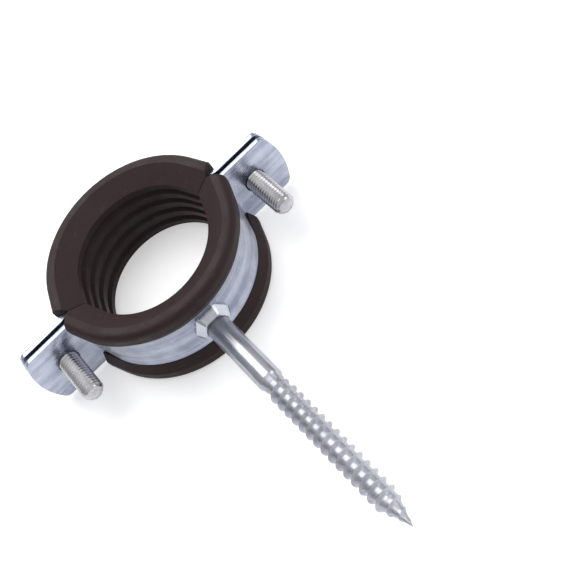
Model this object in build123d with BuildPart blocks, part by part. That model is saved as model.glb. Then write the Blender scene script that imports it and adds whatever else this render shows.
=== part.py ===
"""Two-part pipe clamp with a rubber lining and a hanger screw for wood.

Frame: the origin is the centre of the bore. Z runs along the pipe, X runs across the two ears and
-Y runs down the hanger screw, away from the pipe. The lower half (-Y) is fixed to the hanger screw.
The upper half (+Y) is the cap, which two screws through the ears pull down. Sizes are millimetres.
"""

import os
from math import atan, cos, degrees, radians, sin, sqrt, tan

from build123d import *

# Ring: each half is a round arc that runs straight for its last few degrees, so that the closed
# clamp is slightly pointed where its halves meet
flare_angle = 20.0  # degrees of arc, before the split, from which a half runs straight

# Steel band
band_w = 20.0
band_t = 1.5
band_in_r = 24.0
bend_r = 2.4  # inside radius of the bend from the ring to an ear, clear of the screw heads
ear_gap = 1.2  # daylight between the two ears when the clamp is closed
ear_tip_x = 43.8
ear_bow = 2.2  # how far the ear's rounded end stands proud of its corners
ear_corner_r = 2.0

# Rubber lining
bore_r = 19.0  # crests of the ribs inside the lining
side_wall = 2.6  # rubber beyond each edge of the band
side_flat_w = 3.3  # flat side of the lining, from the lead-in slope out to the outside of the lip
slope_w = 3.0  # the lead-in slope's share of the lining's half width
lip_h = 2.0  # the lips stand this far out from the band
lip_corner_r = 1.9
lip_reach = 3.9  # each lip wraps this far over the band
lip_edge_h = 0.5  # height of the lip's thin edge
lip_taper_w = 2.7  # the lip thins to its edge over this width
groove_count = 4  # grooves between the ribs
groove_pitch = 4.4
groove_depth = 0.8
groove_mouth_w = 2.4
groove_floor_w = 0.8
lining_gap = 0.2  # daylight between the two linings when the clamp is closed
notch_depth = 0.2  # the ends are cut back at 45 degrees for the ears, from this far into the band

# Ear screws, M6 x 18 with hexagon heads
ear_screw_x = 34.0
ear_screw_r = 3.0
ear_screw_length = 18.0
ear_screw_point = 0.9  # chamfer on the point
head_af = 10.0
head_h = 4.0
head_chamfer_h = 0.8
thread_fit = 0.05  # radial, in the threaded ears of the lower band
clear_fit = 0.3  # radial, in the ears of the cap

# Weld boss that carries the hanger screw
boss_af = 10.0
boss_h = 2.9
boss_rim_h = 0.9  # height of the six flats below the cone
boss_top_r = 3.9

# Hanger screw: distances are measured from the pipe's axis
spigot_r = 2.9  # turned down where it sits in the weld boss, so the shank's shoulder seats on it
shank_r = 3.25
shank_end = 50.7
neck_r = 2.75
neck_length = 1.0
thread_core_r = 2.35
thread_major_r = 3.25
thread_pitch = 2.68
thread_start = 53.94
thread_turns = 15
tip_turns = 2
tip_end = 100.9
tooth_base_w = 1.8
tooth_root_dip = 0.15  # the tooth starts this far inside the core, so the two fuse

# Worked out from the sizes above
band_out_r = band_in_r + band_t
lip_r = band_out_r + lip_h
side_z = band_w / 2 + side_wall
ear_face_y = ear_gap / 2
ear_back_y = ear_face_y + band_t
boss_top = band_out_r + boss_h
taper_start = thread_start + thread_turns * thread_pitch
flare = radians(flare_angle)
far = 3 * ear_tip_x  # longer than the whole clamp, for cutting tools
os.makedirs("parts", exist_ok=True)


def half_x(radius, y):
    """How far out a half of the ring is at height y on its straight end."""
    return radius / cos(flare) - abs(y) * tan(flare)


def half_outline(radius):
    """The lower half of the ring's outline at one radius, closed along the split."""
    arc_x, arc_y = radius * cos(flare), -radius * sin(flare)
    corner_x = half_x(radius, 0)
    with BuildSketch() as outline:
        with BuildLine():
            ThreePointArc((-arc_x, arc_y), (0, -radius), (arc_x, arc_y))
            Polyline((arc_x, arc_y), (corner_x, 0), (-corner_x, 0), (-arc_x, arc_y))
        make_face()
    return outline.sketch


def band_half(hole_r):
    """The lower half of the band: a half ring with an ear bent out on each side."""
    bent_in_r = bend_r + band_t
    with BuildPart() as half:
        with BuildSketch(Plane.XY.offset(-band_w / 2)) as strip:
            add(half_outline(band_out_r))
            add(half_outline(band_in_r), mode=Mode.SUBTRACT)
            with Locations((0, -ear_face_y)):
                Rectangle(far, far, align=(Align.CENTER, Align.MAX), mode=Mode.INTERSECT)
            ear_root_x = half_x((band_in_r + band_out_r) / 2, ear_back_y)
            for side in (-1, 1):
                with Locations((side * (ear_root_x + ear_tip_x) / 2, -ear_face_y)):
                    Rectangle(ear_tip_x - ear_root_x, band_t, align=(Align.CENTER, Align.MAX))
            for side in (-1, 1):
                root = (side * half_x(band_out_r, ear_back_y), -ear_back_y)
                fillet(strip.vertices().sort_by_distance(root)[0], radius=bend_r)
            for side in (-1, 1):
                root = (side * half_x(band_in_r, ear_face_y), -ear_face_y)
                fillet(strip.vertices().sort_by_distance(root)[0], radius=bent_in_r)
        extrude(amount=band_w)
        with BuildSketch(Plane.XZ) as outline:
            corner_x = ear_tip_x - ear_bow
            with BuildLine():
                Line((-corner_x, -band_w / 2), (corner_x, -band_w / 2))
                ThreePointArc((corner_x, -band_w / 2), (ear_tip_x, 0), (corner_x, band_w / 2))
                Line((corner_x, band_w / 2), (-corner_x, band_w / 2))
                ThreePointArc((-corner_x, band_w / 2), (-ear_tip_x, 0), (-corner_x, -band_w / 2))
            make_face()
            fillet(outline.vertices(), radius=ear_corner_r)
        extrude(amount=far, both=True, mode=Mode.INTERSECT)
        with BuildSketch(Plane.XZ):
            with Locations((-ear_screw_x, 0), (ear_screw_x, 0)):
                Circle(hole_r)
        extrude(amount=far, both=True, mode=Mode.SUBTRACT)
    return half.part


def lining_half(band):
    """The lining in the lower half: a ribbed sleeve whose lips wrap over both edges of the band."""
    band_mid_r = (band_in_r + band_out_r) / 2
    lip_edge_z = band_w / 2 - lip_reach
    arc_end = Plane(origin=(0, 0, 0), x_dir=(cos(flare), -sin(flare), 0), z_dir=(-sin(flare), -cos(flare), 0))
    with BuildPart() as half:
        with BuildSketch(arc_end) as section:
            with BuildLine():
                Polyline(
                    (bore_r, 0),
                    (bore_r, side_z - slope_w),
                    (lip_r - side_flat_w, side_z),
                    (lip_r, side_z),
                    (lip_r, lip_edge_z + lip_taper_w),
                    (band_out_r + lip_edge_h, lip_edge_z),
                    (band_mid_r, lip_edge_z),
                    (band_mid_r, 0),
                    close=True,
                )
            make_face()
            mirror(about=Plane.XZ)
            for side in (-1, 1):
                lip_corner = section.vertices().sort_by_distance((lip_r, side * side_z))[0]
                fillet(lip_corner, radius=lip_corner_r)
            with Locations((bore_r, 0)):
                with GridLocations(groove_pitch, groove_pitch, 1, groove_count):
                    Polygon(
                        (0, -groove_mouth_w / 2),
                        (groove_depth, -groove_floor_w / 2),
                        (groove_depth, groove_floor_w / 2),
                        (0, groove_mouth_w / 2),
                        mode=Mode.SUBTRACT,
                    )
        revolve(axis=Axis.Z, revolution_arc=2 * flare_angle - 180)
        straight_end = extrude(section.sketch, amount=-lip_r * tan(flare), mode=Mode.PRIVATE)
        add(straight_end)
        add(mirror(straight_end, about=Plane.YZ, mode=Mode.PRIVATE))
        with BuildSketch(Plane.XY):
            with Locations((0, -lining_gap / 2)):
                Rectangle(far, far, align=(Align.CENTER, Align.MIN))
            notch_x = band_in_r + notch_depth
            for side in (-1, 1):
                with BuildLine():
                    notch_end_x = side * (notch_x + far)
                    Polyline((side * notch_x, 0), (notch_end_x, far), (notch_end_x, -far), close=True)
                make_face()
        extrude(amount=far, both=True, mode=Mode.SUBTRACT)
        add(band, mode=Mode.SUBTRACT)
    return half.part


def hexagon_block(across_flats, bottom, top, chamfer_from, top_r):
    """A hexagon along -Y with its corners coned off, from radius across-corners to top_r."""
    corner_r = across_flats / sqrt(3)
    with BuildPart() as block:
        with BuildSketch(Plane.XZ.offset(bottom)):
            RegularPolygon(across_flats / 2, 6, major_radius=False)
        extrude(amount=top - bottom)
        with BuildSketch(Plane.XY):
            with BuildLine():
                Polyline(
                    (0, -bottom),
                    (corner_r + 1, -bottom),
                    (corner_r + 1, -chamfer_from),
                    (corner_r, -chamfer_from),
                    (top_r, -top),
                    (0, -top),
                    close=True,
                )
            make_face()
        revolve(axis=Axis.Y, mode=Mode.INTERSECT)
    return block.part


def tooth_section(path):
    """The thread's section at the start of a helix, standing on the core and pointing outwards."""
    start = path @ 0
    outwards = Vector(start.X, 0, start.Z)
    height = thread_major_r - thread_core_r + tooth_root_dip
    with BuildSketch(Plane(origin=start, x_dir=outwards, z_dir=path % 0)) as section:
        with BuildLine():
            Polyline(
                (0, -tooth_base_w / 2),
                (height, 0),
                (0, tooth_base_w / 2),
                close=True,
            )
        make_face()
    return section.sketch


# Lower band: its ears are threaded for the ear screws
with BuildPart() as lower_band:
    add(band_half(ear_screw_r + thread_fit))
lower_band.part.label = "lower_band"
export_step(lower_band.part, "parts/lower_band.step")

# Upper band: the same strip turned over, with clearance holes
with BuildPart() as upper_band:
    add(mirror(band_half(ear_screw_r + clear_fit), about=Plane.XZ, mode=Mode.PRIVATE))
upper_band.part.label = "upper_band"
export_step(upper_band.part, "parts/upper_band.step")

# Linings: each is clipped over its own half of the band
with BuildPart() as lower_lining:
    add(lining_half(lower_band.part))
lower_lining.part.label = "lower_lining"
export_step(lower_lining.part, "parts/lower_lining.step")

with BuildPart() as upper_lining:
    add(mirror(lower_lining.part, about=Plane.XZ, mode=Mode.PRIVATE))
upper_lining.part.label = "upper_lining"
export_step(upper_lining.part, "parts/upper_lining.step")

# Weld boss: a low hexagon with a coned top, seated on the outside of the lower band
with BuildPart() as weld_boss:
    add(hexagon_block(boss_af, band_in_r, boss_top, band_out_r + boss_rim_h, boss_top_r))
    with BuildSketch(Plane.XZ):
        Circle(spigot_r)
    extrude(amount=far, mode=Mode.SUBTRACT)
    Cylinder(band_out_r, band_w, mode=Mode.SUBTRACT)
weld_boss.part.label = "weld_boss"
export_step(weld_boss.part, "parts/weld_boss.step")

# Hanger screw: plain shank, undercut neck, then a coarse thread that tapers to the point
core_slope = thread_core_r / (tip_end - taper_start)
with BuildPart() as hanger_screw:
    with BuildSketch(Plane.XY):
        with BuildLine():
            neck_step = shank_r - neck_r
            neck_end = shank_end + neck_step + neck_length
            Polyline(
                (0, -band_in_r),
                (spigot_r, -band_in_r),
                (spigot_r, -boss_top),
                (shank_r, -boss_top),
                (shank_r, -shank_end),
                (neck_r, -shank_end - neck_step),
                (neck_r, -neck_end),
                (thread_core_r, -neck_end - neck_step),
                (thread_core_r, -taper_start),
                (0, -tip_end),
                close=True,
            )
        make_face()
    revolve(axis=Axis.Y)
    Cylinder(band_out_r, band_w, mode=Mode.SUBTRACT)
    thread_helix = Helix(
        pitch=thread_pitch,
        height=thread_turns * thread_pitch,
        radius=thread_core_r - tooth_root_dip,
        center=(0, -thread_start, 0),
        direction=(0, -1, 0),
        mode=Mode.PRIVATE,
    )
    tip_helix = Helix(
        pitch=thread_pitch,
        height=tip_turns * thread_pitch,
        radius=thread_core_r - tooth_root_dip,
        center=(0, -taper_start, 0),
        direction=(0, -1, 0),
        cone_angle=-degrees(atan(core_slope)),
        mode=Mode.PRIVATE,
    )
    sweep(sections=tooth_section(thread_helix), path=thread_helix, is_frenet=True)
    sweep(sections=tooth_section(tip_helix), path=tip_helix, is_frenet=True)
hanger_screw.part.label = "hanger_screw"
export_step(hanger_screw.part, "parts/hanger_screw.step")

# Ear screws: through the cap's ears, threaded into the lower ears
for side, name in ((-1, "left_ear_screw"), (1, "right_ear_screw")):
    with BuildPart() as ear_screw:
        head = hexagon_block(head_af, 0, head_h, head_h - head_chamfer_h, head_af / 2 - 0.2)
        add(Pos(side * ear_screw_x, ear_back_y, 0) * mirror(head, about=Plane.XZ, mode=Mode.PRIVATE))
        with BuildSketch(Plane.XZ.offset(-ear_back_y)):
            with Locations((side * ear_screw_x, 0)):
                Circle(ear_screw_r)
        extrude(amount=ear_screw_length)
        point = ear_screw.faces().sort_by(Axis.Y)[0].edges()
        chamfer(point, length=ear_screw_point)
    ear_screw.part.label = name
    export_step(ear_screw.part, f"parts/{name}.step")
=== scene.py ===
"""A two-part pipe clamp with a rubber lining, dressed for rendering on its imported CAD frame.

Every mesh is in metres in the clamp's own frame: Z runs along the pipe, X runs across the two ears
and -Y runs down the hanger screw. The sections give sizes in millimetres, times mm.
"""

from math import cos, pi, radians, sin

import bmesh
import bpy
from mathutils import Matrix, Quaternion, Vector


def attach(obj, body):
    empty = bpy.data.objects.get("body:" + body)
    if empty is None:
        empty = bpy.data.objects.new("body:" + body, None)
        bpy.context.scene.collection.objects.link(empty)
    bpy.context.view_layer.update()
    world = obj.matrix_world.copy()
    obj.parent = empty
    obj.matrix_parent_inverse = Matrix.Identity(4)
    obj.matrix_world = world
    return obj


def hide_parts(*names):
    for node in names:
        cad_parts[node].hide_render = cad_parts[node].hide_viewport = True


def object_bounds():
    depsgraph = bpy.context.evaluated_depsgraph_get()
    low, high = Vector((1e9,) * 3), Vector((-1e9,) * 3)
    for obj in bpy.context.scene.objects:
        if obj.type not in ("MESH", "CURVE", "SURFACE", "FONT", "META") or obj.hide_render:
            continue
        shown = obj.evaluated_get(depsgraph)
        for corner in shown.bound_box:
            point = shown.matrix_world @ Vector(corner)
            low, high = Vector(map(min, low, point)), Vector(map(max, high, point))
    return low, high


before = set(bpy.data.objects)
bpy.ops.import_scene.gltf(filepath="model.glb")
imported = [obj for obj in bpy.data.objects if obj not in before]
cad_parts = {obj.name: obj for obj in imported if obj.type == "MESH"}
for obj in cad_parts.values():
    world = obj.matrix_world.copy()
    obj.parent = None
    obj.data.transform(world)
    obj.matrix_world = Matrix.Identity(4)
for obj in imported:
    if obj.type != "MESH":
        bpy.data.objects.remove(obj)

mm = 0.001
cad_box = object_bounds()


# Camera: a 66 mm lens that looks down on the clamp from the side of the hanger screw, and is
# turned about its own axis so that the screw runs to the lower right of a square frame.
camera_place = Vector((1.937, -187.143, 204.856)) * mm
camera_aim = Vector((18.790, -32.884, 0)) * mm
camera_turn = radians(-39.564)
camera_lens = bpy.data.cameras.new("camera")
camera_lens.sensor_width = 36
camera_lens.lens = 66.33
camera_lens.clip_start = 10 * mm
camera = bpy.data.objects.new("camera", camera_lens)
bpy.context.collection.objects.link(camera)
camera.location = camera_place
level_view = (camera_aim - camera_place).to_track_quat("-Z", "Y")
camera.rotation_mode = "QUATERNION"
camera.rotation_quaternion = level_view @ Quaternion((0, 0, 1), camera_turn)
bpy.context.scene.camera = camera


# Studio: a pale sweep under the clamp, which lies on the flat side of its lining. One large soft
# box hangs above and behind it, a weaker one stands to its right, and the room fills the shadows.
# The walls to the left and right mirror darker, which gives the round screws their dark edges.
def put(tree, kind, inputs=None, **settings):
    """Adds a node to a tree, sets its options, and fills or links its inputs."""
    made = tree.nodes.new(kind)
    for name, value in settings.items():
        setattr(made, name, value)
    for name, value in (inputs or {}).items():
        if isinstance(value, bpy.types.NodeSocket):
            tree.links.new(value, made.inputs[name])
        else:
            made.inputs[name].default_value = value
    return made


def calc(tree, operation, *values):
    """The result of a Math node on numbers and sockets."""
    return put(tree, "ShaderNodeMath", dict(enumerate(values)), operation=operation).outputs[0]


def ramp(tree, value, low, high, at_low, at_high, interpolation="LINEAR"):
    """The result of a Map Range node: at_low where value is at low, and at_high where at high."""
    made = put(
        tree,
        "ShaderNodeMapRange",
        {"Value": value, "From Min": low, "From Max": high, "To Min": at_low, "To Max": at_high},
        interpolation_type=interpolation,
    )
    return made.outputs["Result"]


def seen_or_mirrored(tree):
    """A socket that is 1 for rays from the camera and for mirrored ones, and 0 for the rest."""
    ray = put(tree, "ShaderNodeLightPath").outputs
    mirrored = calc(tree, "MAXIMUM", ray["Is Glossy Ray"], ray["Is Transmission Ray"])
    return calc(tree, "MAXIMUM", ray["Is Camera Ray"], mirrored)


room = bpy.data.worlds.new("room")
room.use_nodes = True
room_tree = room.node_tree
room_tree.nodes.clear()
bpy.context.scene.world = room
room_light = put(room_tree, "ShaderNodeBackground", {"Color": (0.36, 0.365, 0.38, 1)})
room_way = put(room_tree, "ShaderNodeTexCoord").outputs["Generated"]
side_way = put(room_tree, "ShaderNodeSeparateXYZ", {0: room_way}).outputs["X"]
dim_sides = ramp(room_tree, calc(room_tree, "ABSOLUTE", side_way), 0.3, 0.9, 1, 0.45)
seen = put(room_tree, "ShaderNodeLightPath").outputs["Is Camera Ray"]
wall_strength = calc(room_tree, "MAXIMUM", dim_sides, seen)
room_wall = put(
    room_tree, "ShaderNodeBackground", {"Color": (1, 1, 1, 1), "Strength": wall_strength}
)
room_mix = put(
    room_tree,
    "ShaderNodeMixShader",
    {0: seen_or_mirrored(room_tree), 1: room_light.outputs[0], 2: room_wall.outputs[0]},
)
put(room_tree, "ShaderNodeOutputWorld", {"Surface": room_mix.outputs[0]})

for name, centre, width, length, power in (
    ("back_soft_box", (0, 340, 630), 560, 760, 4.6),
    ("side_soft_box", (540, -300, 360), 300, 300, 0.8),
):
    lamp = bpy.data.lights.new(name, "AREA")
    lamp.shape = "RECTANGLE"
    lamp.size = width * mm
    lamp.size_y = length * mm
    lamp.energy = power
    box = bpy.data.objects.new(name, lamp)
    bpy.context.collection.objects.link(box)
    box.location = Vector(centre) * mm
    box.rotation_euler = (-box.location).to_track_quat("-Z", "Y").to_euler()

sweep_paint = bpy.data.materials.new("pale_sweep")
sweep_paint.use_nodes = True
sweep_tree = sweep_paint.node_tree
sweep_tree.nodes.clear()
sweep_matt = put(sweep_tree, "ShaderNodeBsdfDiffuse", {"Color": (0.9, 0.9, 0.9, 1)})
sweep_glow = put(
    sweep_tree,
    "ShaderNodeEmission",
    {"Color": (0.5, 0.5, 0.5, 1), "Strength": seen_or_mirrored(sweep_tree)},
)
sweep_sum = put(
    sweep_tree, "ShaderNodeAddShader", {0: sweep_matt.outputs[0], 1: sweep_glow.outputs[0]}
)
put(sweep_tree, "ShaderNodeOutputMaterial", {"Surface": sweep_sum.outputs[0]})
sweep_mesh = bpy.data.meshes.new("sweep")
sweep_z = cad_box[0][2]
sweep_reach = 2  # metres from the clamp to each edge of the sweep
sweep_corners = [
    (x * sweep_reach, y * sweep_reach, sweep_z) for x, y in ((-1, -1), (1, -1), (1, 1), (-1, 1))
]
sweep_mesh.from_pydata(sweep_corners, [], [(0, 1, 2, 3)])
sweep_mesh.materials.append(sweep_paint)
sweep = bpy.data.objects.new("sweep", sweep_mesh)
bpy.context.collection.objects.link(sweep)


# Steel bands: two strips of cold rolled steel, 1.5 mm thick, pressed into half rings with an ear
# bent out at each end and long edges that rise a little under the lips of the lining. They are
# punched, deburred and then plated with bright zinc.
def new_group(name, kind, inputs, outputs):
    """A node group with inputs given as (name, type, default) and outputs as (name, type)."""
    tree = bpy.data.node_groups.new(name, kind)
    for label, socket_type, default in inputs:
        socket = tree.interface.new_socket(label, in_out="INPUT", socket_type=socket_type)
        if default is not None:
            socket.default_value = default
    for label, socket_type in outputs:
        tree.interface.new_socket(label, in_out="OUTPUT", socket_type=socket_type)
    return tree, put(tree, "NodeGroupInput").outputs, put(tree, "NodeGroupOutput").inputs


def noise(tree, place, scale, detail, roughness):
    """The grey value of a Noise Texture at a place."""
    inputs = {"Vector": place, "Scale": scale, "Detail": detail, "Roughness": roughness}
    return put(tree, "ShaderNodeTexNoise", inputs).outputs["Fac"]


def stretched_noise(tree, place, stretch, detail, roughness):
    """Noise that is scaled by its own number along each axis, for marks that run one way."""
    scaled = put(tree, "ShaderNodeMapping", {"Vector": place, "Scale": stretch}).outputs[0]
    return noise(tree, scaled, 1, detail, roughness)


def mixed_colour(tree, share, at_none, at_all):
    """A colour that runs from at_none where the share is 0 to at_all where it is 1."""
    first, second, mixed = 6, 7, 2  # the Mix node's sockets for colours, whose names aren't unique
    inputs = {"Factor": share, first: at_none, second: at_all}
    return put(tree, "ShaderNodeMix", inputs, data_type="RGBA").outputs[mixed]


plating, plating_in, plating_out = new_group(
    "zinc plating",
    "ShaderNodeTree",
    [
        ("Bright", "NodeSocketColor", (0.43, 0.455, 0.54, 1)),
        ("Dull", "NodeSocketColor", (0.265, 0.29, 0.37, 1)),
        ("Streak Stretch", "NodeSocketVector", (22, 22, 420)),
        ("Line Stretch", "NodeSocketVector", (60, 60, 2400)),
        ("Roughness", "NodeSocketFloat", 0.3),
        ("Line Depth", "NodeSocketFloat", 0.08),
    ],
    [
        ("Color", "NodeSocketColor"),
        ("Roughness", "NodeSocketFloat"),
        ("Height", "NodeSocketFloat"),
    ],
)
plated_place = put(plating, "ShaderNodeTexCoord").outputs["Object"]
clouds = noise(plating, plated_place, 260, 4, 0.6)
specks = noise(plating, plated_place, 2600, 2, 0.5)
lines = stretched_noise(plating, plated_place, plating_in["Line Stretch"], 3, 0.65)
streaks = stretched_noise(plating, plated_place, plating_in["Streak Stretch"], 3, 0.55)
cloud_share = 0.35
marks = calc(
    plating,
    "ADD",
    calc(plating, "MULTIPLY", clouds, cloud_share),
    calc(plating, "MULTIPLY", streaks, 1 - cloud_share),
)
brightness = ramp(plating, marks, 0.36, 0.62, 0, 1, "SMOOTHSTEP")
tint = mixed_colour(plating, brightness, plating_in["Dull"], plating_in["Bright"])
plating.links.new(tint, plating_out["Color"])
rough_lines = ramp(plating, lines, 0.3, 0.7, -0.06, 0.08)
roughness = calc(plating, "ADD", plating_in["Roughness"], rough_lines)
plating.links.new(roughness, plating_out["Roughness"])
line_height = calc(plating, "MULTIPLY", lines, plating_in["Line Depth"])
relief_height = calc(plating, "MULTIPLY_ADD", specks, 0.05, line_height)
plating.links.new(relief_height, plating_out["Height"])


def metal(name, group_inputs, bump_distance):
    """A plated metal whose colour, gloss and fine relief come from the plating group."""
    made = bpy.data.materials.new(name)
    made.use_nodes = True
    tree = made.node_tree
    tree.nodes.clear()
    finish = put(tree, "ShaderNodeGroup", group_inputs, node_tree=plating, name="finish")
    relief = put(
        tree,
        "ShaderNodeBump",
        {"Height": finish.outputs["Height"], "Strength": 0.6, "Distance": bump_distance},
    )
    surface = put(
        tree,
        "ShaderNodeBsdfPrincipled",
        {
            "Base Color": finish.outputs["Color"],
            "Metallic": 1.0,
            "Roughness": finish.outputs["Roughness"],
            "Normal": relief.outputs[0],
        },
    )
    put(tree, "ShaderNodeOutputMaterial", {"Surface": surface.outputs[0]})
    return made


band_zinc = metal("band_zinc", {"Roughness": 0.25}, 0.2 * mm)
weld_reach = 0.002 * mm  # points nearer than this are one
band_outer_r = 25.5 * mm
outer_face_reach = 0.03 * mm  # how near to that radius a point counts as on the outer face
band_ease = 0.25 * mm
dish_from, dish_to = 3.2 * mm, 5.9 * mm  # where the strip starts and ends its rise to the lips
dish_rise = 0.35 * mm
dish_steps = 5


def dished_band(node):
    """A copy of a CAD band with a slightly dished outer face and its sharp edges rounded off."""
    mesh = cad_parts[node].data.copy()
    mesh.name = "dressed_" + node
    mesh.materials.clear()
    mesh.materials.append(band_zinc)
    shape = bmesh.new()
    shape.from_mesh(mesh)
    for face in shape.faces:
        face.material_index = 0
        face.smooth = True
    bmesh.ops.remove_doubles(shape, verts=shape.verts, dist=weld_reach)
    bmesh.ops.dissolve_limit(
        shape, angle_limit=radians(0.4), verts=shape.verts, edges=shape.edges
    )
    for step in range(dish_steps + 1):
        for side in (-1, 1):
            cut_z = side * (dish_from + (dish_to - dish_from) * step / dish_steps)
            bmesh.ops.bisect_plane(
                shape,
                geom=shape.verts[:] + shape.edges[:] + shape.faces[:],
                plane_co=(0, 0, cut_z),
                plane_no=(0, 0, 1),
            )
    for vert in shape.verts:
        from_axis = Vector((vert.co.x, vert.co.y))
        share = min(max((abs(vert.co.z) - dish_from) / (dish_to - dish_from), 0), 1)
        if abs(from_axis.length - band_outer_r) < outer_face_reach:
            raised = from_axis * (1 + dish_rise * share**2 / from_axis.length)
            vert.co.x, vert.co.y = raised
    shape.to_mesh(mesh)
    shape.free()
    made = bpy.data.objects.new("dressed_" + node, mesh)
    bpy.context.collection.objects.link(made)
    rounding = made.modifiers.new("eased edges", "BEVEL")
    rounding.width = band_ease
    rounding.segments = 3
    rounding.limit_method = "ANGLE"
    rounding.angle_limit = radians(40)
    rounding.harden_normals = True
    return made


for node, body in (("lower_band", "clamp_base"), ("upper_band", "cap")):
    band = dished_band(node)
    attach(band, body)
    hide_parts(node)


# Rubber lining: two moulded half sleeves of black EPDM, ribbed round the bore, whose lips are
# rolled over the edges of the bands and hold them on without glue.
def rubber_material():
    """Matt black rubber with a fine mould grain, uneven dust and small pale scuffs."""
    made = bpy.data.materials.new("lining_rubber")
    made.use_nodes = True
    tree = made.node_tree
    tree.nodes.clear()
    place = put(tree, "ShaderNodeTexCoord").outputs["Object"]
    dust = noise(tree, place, 190, 6, 0.62)
    grain = noise(tree, place, 3200, 3, 0.6)
    scuffs = ramp(tree, noise(tree, place, 420, 9, 0.72), 0.57, 0.76, 0, 0.5)
    dusty = mixed_colour(tree, dust, (0.008, 0.0022, 0.0027, 1), (0.034, 0.0145, 0.0165, 1))
    relief = put(tree, "ShaderNodeBump", {"Height": grain, "Strength": 0.7, "Distance": 0.12 * mm})
    surface = put(
        tree,
        "ShaderNodeBsdfPrincipled",
        {
            "Base Color": mixed_colour(tree, scuffs, dusty, (0.07, 0.05, 0.053, 1)),
            "Roughness": ramp(tree, dust, 0.3, 0.7, 0.46, 0.66),
            "Specular IOR Level": 0.24,
            "Normal": relief.outputs[0],
        },
    )
    put(tree, "ShaderNodeOutputMaterial", {"Surface": surface.outputs[0]})
    return made


lining_rubber = rubber_material()
for name in ("lower_lining", "upper_lining"):
    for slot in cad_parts[name].material_slots:
        slot.material = lining_rubber


# Weld boss: a low hexagon of steel with slanted faces and rounded corners, cold headed and then
# projection welded to the lower band, with the hanger screw pressed into it.
steps_round = 72  # faces round every turned shape


def turned_shape(name, rings):
    """A mesh turned about -Y from rings that go along it.

    Each ring is one (way, radius) for the whole turn, or a function that gives both at an angle.
    A ring of no radius is a point on the axis, and the shape is open at any other last ring.
    """
    shape = bmesh.new()
    before = None
    for ring in rings:
        if not callable(ring) and ring[1] == 0:
            now = [shape.verts.new((0, -ring[0], 0))]
        else:
            now = []
            for step in range(steps_round):
                turned = 2 * pi * step / steps_round
                way_here, radius_here = ring(turned) if callable(ring) else ring
                corner = radius_here * cos(turned), -way_here, radius_here * sin(turned)
                now.append(shape.verts.new(corner))
        for step in range(steps_round if before else 0):
            after = (step + 1) % steps_round
            corners = [before[step % len(before)], before[after % len(before)]]
            corners += [now[after % len(now)], now[step % len(now)]]
            shape.faces.new(dict.fromkeys(corners))
        before = now
    bmesh.ops.recalc_face_normals(shape, faces=shape.faces)
    mesh = bpy.data.meshes.new(name)
    shape.to_mesh(mesh)
    shape.free()
    return mesh


def hexagon_r(turned, flat_r):
    """The radius at an angle of a hexagon with a corner at 0 and its flats at flat_r."""
    return flat_r / cos(turned % (pi / 3) - pi / 6)


def boss_ring(way, flat_r, corner_r):
    """A ring of the boss: a hexagon whose corners are rounded off at corner_r."""
    return lambda turned: (way, min(hexagon_r(turned, flat_r), corner_r))


boss_zinc = metal(
    "boss_zinc",
    {
        "Bright": (0.5, 0.52, 0.57, 1),
        "Dull": (0.36, 0.375, 0.42, 1),
        "Roughness": 0.26,
        "Streak Stretch": (150, 150, 150),
        "Line Depth": 0.04,
    },
    0.2 * mm,
)
boss_foot = 24.2 * mm  # from the pipe's axis, inside the thickness of the band
boss_top = 28.4 * mm
socket_floor = 28.1 * mm
boss_mesh = turned_shape(
    "dressed_weld_boss",
    [
        (boss_foot, 0),
        boss_ring(boss_foot, 4.9 * mm, 5.4 * mm),
        boss_ring(25.8 * mm, 4.9 * mm, 5.4 * mm),
        boss_ring(26.0 * mm, 4.8 * mm, 5.3 * mm),
        boss_ring(28.1 * mm, 3.85 * mm, 4.3 * mm),
        boss_ring(28.3 * mm, 3.7 * mm, 4.15 * mm),
        boss_ring(boss_top, 3.5 * mm, 3.95 * mm),
        (boss_top, 3.35 * mm),
        (socket_floor, 3.2 * mm),
        (socket_floor, 0),
    ],
)
boss_mesh.materials.append(boss_zinc)
boss_mesh.shade_smooth()
boss_mesh.set_sharp_from_angle(angle=radians(14))
boss = bpy.data.objects.new("dressed_weld_boss", boss_mesh)
bpy.context.collection.objects.link(boss)
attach(boss, "clamp_base")
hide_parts("weld_boss")


# Hanger screw: cold headed wire with a plain shank, an undercut neck and a coarse rolled wood
# thread that runs out to a sharp point, all plated with bright zinc. The thread's rows follow the
# helix, so its crest is one clean line from the neck to the point.
thread_sockets = [
    ("Blank", "NodeSocketGeometry", None),
    ("Start", "NodeSocketFloat", 0),
    ("End", "NodeSocketFloat", 0.02),
    ("Pitch", "NodeSocketFloat", 0.001),
    ("Core Radius", "NodeSocketFloat", 0.0024),
    ("Crest Radius", "NodeSocketFloat", 0.003),
    ("Crest Share", "NodeSocketFloat", 0.12),
    ("Root Share", "NodeSocketFloat", 0.2),
    ("Flank Hollow", "NodeSocketFloat", 1.0),
    ("Run In", "NodeSocketFloat", 0.001),
    ("Core Taper From", "NodeSocketFloat", 0.019),
    ("Crest Taper From", "NodeSocketFloat", 0.019),
    ("Point Radius", "NodeSocketFloat", 0.002),
    ("Steps A Turn", "NodeSocketFloat", 12),
    ("Place", "NodeSocketVector", (0, 0, 0)),
    ("Finish", "NodeSocketMaterial", None),
]
thread, thread_in, thread_out = new_group(
    "rolled thread", "GeometryNodeTree", thread_sockets, [("Geometry", "NodeSocketGeometry")]
)
start, end, pitch = thread_in["Start"], thread_in["End"], thread_in["Pitch"]
core_r, crest_r, point_r = (
    thread_in[name] for name in ("Core Radius", "Crest Radius", "Point Radius")
)

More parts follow.
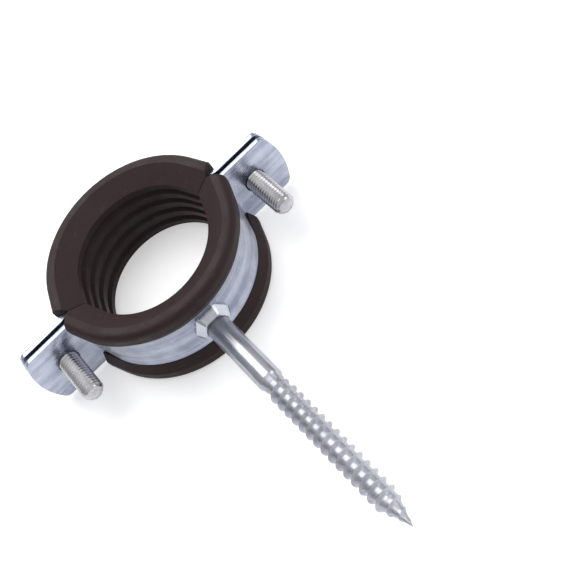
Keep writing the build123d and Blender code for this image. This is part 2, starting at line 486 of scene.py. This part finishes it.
# The rows of a grid run round the screw and climb one pitch a turn. They begin a turn before the
# thread does, and what lies before its start or past its end is drawn in to there.
turns_before = 1
turns_past = 0.3
turns = calc(thread, "DIVIDE", calc(thread, "SUBTRACT", end, start), pitch)
all_turns = calc(thread, "ADD", turns, turns_before + turns_past)
row_count = calc(thread, "CEIL", calc(thread, "MULTIPLY", all_turns, thread_in["Steps A Turn"]))
sheet = put(
    thread,
    "GeometryNodeMeshGrid",
    {
        "Size X": 1,
        "Size Y": row_count,
        "Vertices X": steps_round + 1,
        "Vertices Y": calc(thread, "ADD", row_count, 1),
    },
)
grid_place = put(thread, "GeometryNodeInputPosition").outputs[0]
grid_way = put(thread, "ShaderNodeSeparateXYZ", {0: grid_place}).outputs
share_round = calc(thread, "ADD", grid_way["X"], 0.5)
half_the_rows = calc(thread, "DIVIDE", row_count, 2)
row = calc(thread, "ROUND", calc(thread, "ADD", grid_way["Y"], half_the_rows))
turn = calc(thread, "DIVIDE", row, thread_in["Steps A Turn"])
turns_on = calc(thread, "ADD", calc(thread, "SUBTRACT", turn, turns_before), share_round)
free_way = calc(thread, "MULTIPLY_ADD", turns_on, pitch, start)
way = calc(thread, "MINIMUM", calc(thread, "MAXIMUM", free_way, start), end)

# The tooth falls from its crest to the root on both sides, grows over the run in, and tapers with
# the core towards the point.
from_crest = calc(
    thread, "ABSOLUTE", calc(thread, "MULTIPLY_ADD", calc(thread, "FRACT", turn), 2, -1)
)
root_from = calc(thread, "SUBTRACT", 1, thread_in["Root Share"])
flank = ramp(thread, from_crest, thread_in["Crest Share"], root_from, 1, 0)
tooth = calc(thread, "POWER", flank, thread_in["Flank Hollow"])
full_from = calc(thread, "ADD", start, thread_in["Run In"])
grown = ramp(thread, way, start, full_from, 0, 1, "SMOOTHSTEP")
core = ramp(thread, way, thread_in["Core Taper From"], end, core_r, point_r)
crest = ramp(thread, way, thread_in["Crest Taper From"], end, crest_r, point_r)
height = calc(thread, "MAXIMUM", calc(thread, "SUBTRACT", crest, core), 0)
radius = calc(thread, "MULTIPLY_ADD", calc(thread, "MULTIPLY", tooth, grown), height, core)

# Past its end the screw closes to the axis. A point that would lie close beside the axis is put
# on it, so that the end is welded shut.
turns_to_close = 0.2
axis_reach = 4 * weld_reach
closed_after = calc(thread, "MULTIPLY", pitch, turns_to_close)
closing = ramp(thread, calc(thread, "SUBTRACT", free_way, end), 0, closed_after, 1, 0)
closing_r = calc(thread, "MULTIPLY", calc(thread, "MINIMUM", radius, crest), closing)
off_axis = calc(thread, "GREATER_THAN", closing_r, axis_reach)
closed_r = calc(thread, "MULTIPLY", closing_r, off_axis)
angle = calc(thread, "MULTIPLY", share_round, 2 * pi)
rolled_place = put(
    thread,
    "ShaderNodeCombineXYZ",
    {
        "X": calc(thread, "MULTIPLY", closed_r, calc(thread, "COSINE", angle)),
        "Y": calc(thread, "MULTIPLY", way, -1),
        "Z": calc(thread, "MULTIPLY", closed_r, calc(thread, "SINE", angle)),
    },
).outputs[0]
rolled = put(
    thread,
    "GeometryNodeSetPosition",
    {"Geometry": sheet.outputs["Mesh"], "Position": rolled_place},
)
with_blank = put(thread, "GeometryNodeJoinGeometry")
thread.links.new(thread_in["Blank"], with_blank.inputs[0])
thread.links.new(rolled.outputs[0], with_blank.inputs[0])
welded = put(
    thread,
    "GeometryNodeMergeByDistance",
    {"Geometry": with_blank.outputs[0], "Distance": weld_reach},
)
in_place = put(
    thread,
    "GeometryNodeTransform",
    {"Geometry": welded.outputs[0], "Translation": thread_in["Place"]},
)
real = put(thread, "GeometryNodeRealizeInstances", {"Geometry": in_place.outputs[0]})
finished = put(
    thread,
    "GeometryNodeSetMaterial",
    {"Geometry": real.outputs[0], "Material": thread_in["Finish"]},
)
thread.links.new(finished.outputs[0], thread_out["Geometry"])


def rolled_screw(name, blank, sizes):
    """Rolls a thread on to a turned blank and returns the finished screw as a plain mesh."""
    screw = bpy.data.objects.new(name, blank)
    bpy.context.collection.objects.link(screw)
    roll = screw.modifiers.new("thread", "NODES")
    roll.node_group = thread
    for socket in thread.interface.items_tree:
        if socket.in_out == "INPUT" and socket.name in sizes:
            roll[socket.identifier] = sizes[socket.name]
    made = bpy.data.meshes.new_from_object(
        screw.evaluated_get(bpy.context.evaluated_depsgraph_get())
    )
    screw.modifiers.clear()
    screw.data = made
    made.name = name
    made.shade_smooth()
    made.set_sharp_from_angle(angle=radians(50))
    return screw


shank_roughness = 0.31
thread_roughness = 0.47
dull_from, dull_to = 51 * mm, 53 * mm  # the neck, over which the gloss falls off
hanger_zinc = metal(
    "hanger_zinc",
    {
        "Bright": (0.5, 0.51, 0.56, 1),
        "Dull": (0.33, 0.34, 0.39, 1),
        "Streak Stretch": (300, 30, 300),
        "Line Stretch": (1800, 60, 1800),
        "Line Depth": 0.05,
    },
    0.15 * mm,
)

# Fine rings run round the shank and stretch a highlight along it, and the thread is duller.
hanger_tree = hanger_zinc.node_tree
hanger_surface = hanger_tree.nodes["Principled BSDF"].inputs
hanger_surface["Anisotropic"].default_value = 0.75
hanger_surface["Anisotropic Rotation"].default_value = 0.25
rings_way = put(hanger_tree, "ShaderNodeTangent", direction_type="RADIAL", axis="Y")
hanger_tree.links.new(rings_way.outputs[0], hanger_surface["Tangent"])
hanger_place = put(hanger_tree, "ShaderNodeTexCoord").outputs["Object"]
along = put(hanger_tree, "ShaderNodeSeparateXYZ", {0: hanger_place}).outputs["Y"]
roughness_along = ramp(
    hanger_tree, along, -dull_from, -dull_to, shank_roughness, thread_roughness
)
hanger_tree.links.new(roughness_along, hanger_tree.nodes["finish"].inputs["Roughness"])

spigot_r = 2.9 * mm
shank_r = 3.25 * mm
neck_r = 2.75 * mm
wood_core_r = 2.42 * mm
wood_thread_from = 52.6 * mm
hanger_blank = turned_shape(
    "hanger_screw_blank",
    [
        (boss_foot, 0),
        (boss_foot, spigot_r),
        (boss_top, spigot_r),
        (boss_top, shank_r - 0.15 * mm),
        (28.55 * mm, shank_r),
        (50.45 * mm, shank_r),
        (50.65 * mm, shank_r - 0.05 * mm),
        (50.8 * mm, shank_r - 0.15 * mm),
        (51.2 * mm, neck_r),
        (52.2 * mm, neck_r - 0.03 * mm),
        (wood_thread_from, wood_core_r),
    ],
)
hanger_screw = rolled_screw(
    "dressed_hanger_screw",
    hanger_blank,
    {
        "Start": wood_thread_from,
        "End": 100.9 * mm,
        "Pitch": 2.68 * mm,
        "Core Radius": wood_core_r,
        "Crest Radius": shank_r,
        "Crest Share": 0.04,
        "Root Share": 0.45,
        "Flank Hollow": 1.35,
        "Run In": 2.2 * mm,
        "Core Taper From": 93.4 * mm,
        "Crest Taper From": 92.8 * mm,
        "Point Radius": 0.06 * mm,
        "Steps A Turn": 16.0,
        "Finish": hanger_zinc,
    },
)
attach(hanger_screw, "clamp_base")
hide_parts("hanger_screw")


# Ear screws: two M6 hexagon screws, 18 mm long and threaded to the head, that pull the cap down
# on the pipe. Their thread is rolled and stands at a pitch of 1 mm.
ear_zinc = metal(
    "ear_screw_zinc",
    {
        "Bright": (0.5, 0.49, 0.51, 1),
        "Dull": (0.33, 0.325, 0.34, 1),
        "Roughness": 0.26,
        "Streak Stretch": (300, 60, 300),
        "Line Depth": 0.05,
    },
    0.1 * mm,
)
head_flat_r = 5 * mm  # half the size across the flats
head_h = 4 * mm
head_top_r = 4.8 * mm
cone_slope = 0.8 / 0.973  # fall along the screw for each step out, on the cone round the head
ear_core_r = 2.6 * mm
ear_crest_r = 3 * mm
ear_thread_from = 0.4 * mm  # below the head
ear_screw_x = 34 * mm
head_seat_y = 2.1 * mm  # the face of the cap's ears that the heads lie on


def cone_edge(turned):
    """Where the cone that takes the corners off the head meets its six flats."""
    radius_here = hexagon_r(turned, head_flat_r)
    return -head_h + (radius_here - head_top_r) * cone_slope, radius_here


for side, name in ((-1, "left_ear_screw"), (1, "right_ear_screw")):
    ear_blank = turned_shape(
        name + "_blank",
        [
            (-head_h, 0),
            (-head_h, head_top_r - 0.3 * mm),
            (-head_h + 0.03 * mm, head_top_r - 0.1 * mm),
            cone_edge,
            lambda turned: (0, hexagon_r(turned, head_flat_r)),
            (0, ear_crest_r),
            (ear_thread_from, ear_core_r),
        ],
    )
    ear_screw = rolled_screw(
        "dressed_" + name,
        ear_blank,
        {
            "Start": ear_thread_from,
            "End": 18 * mm,
            "Pitch": 1 * mm,
            "Core Radius": ear_core_r,
            "Crest Radius": ear_crest_r,
            "Crest Share": 0.13,
            "Root Share": 0.13,
            "Run In": 0.6 * mm,
            "Core Taper From": 17.4 * mm,
            "Crest Taper From": 17.1 * mm,
            "Point Radius": 2.1 * mm,
            "Steps A Turn": 8.0,
            "Place": (side * ear_screw_x, head_seat_y, 0),
            "Finish": ear_zinc,
        },
    )
    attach(ear_screw, name.replace("ear_", ""))
    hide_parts(name)


bpy.context.scene.view_settings.view_transform = "Standard"
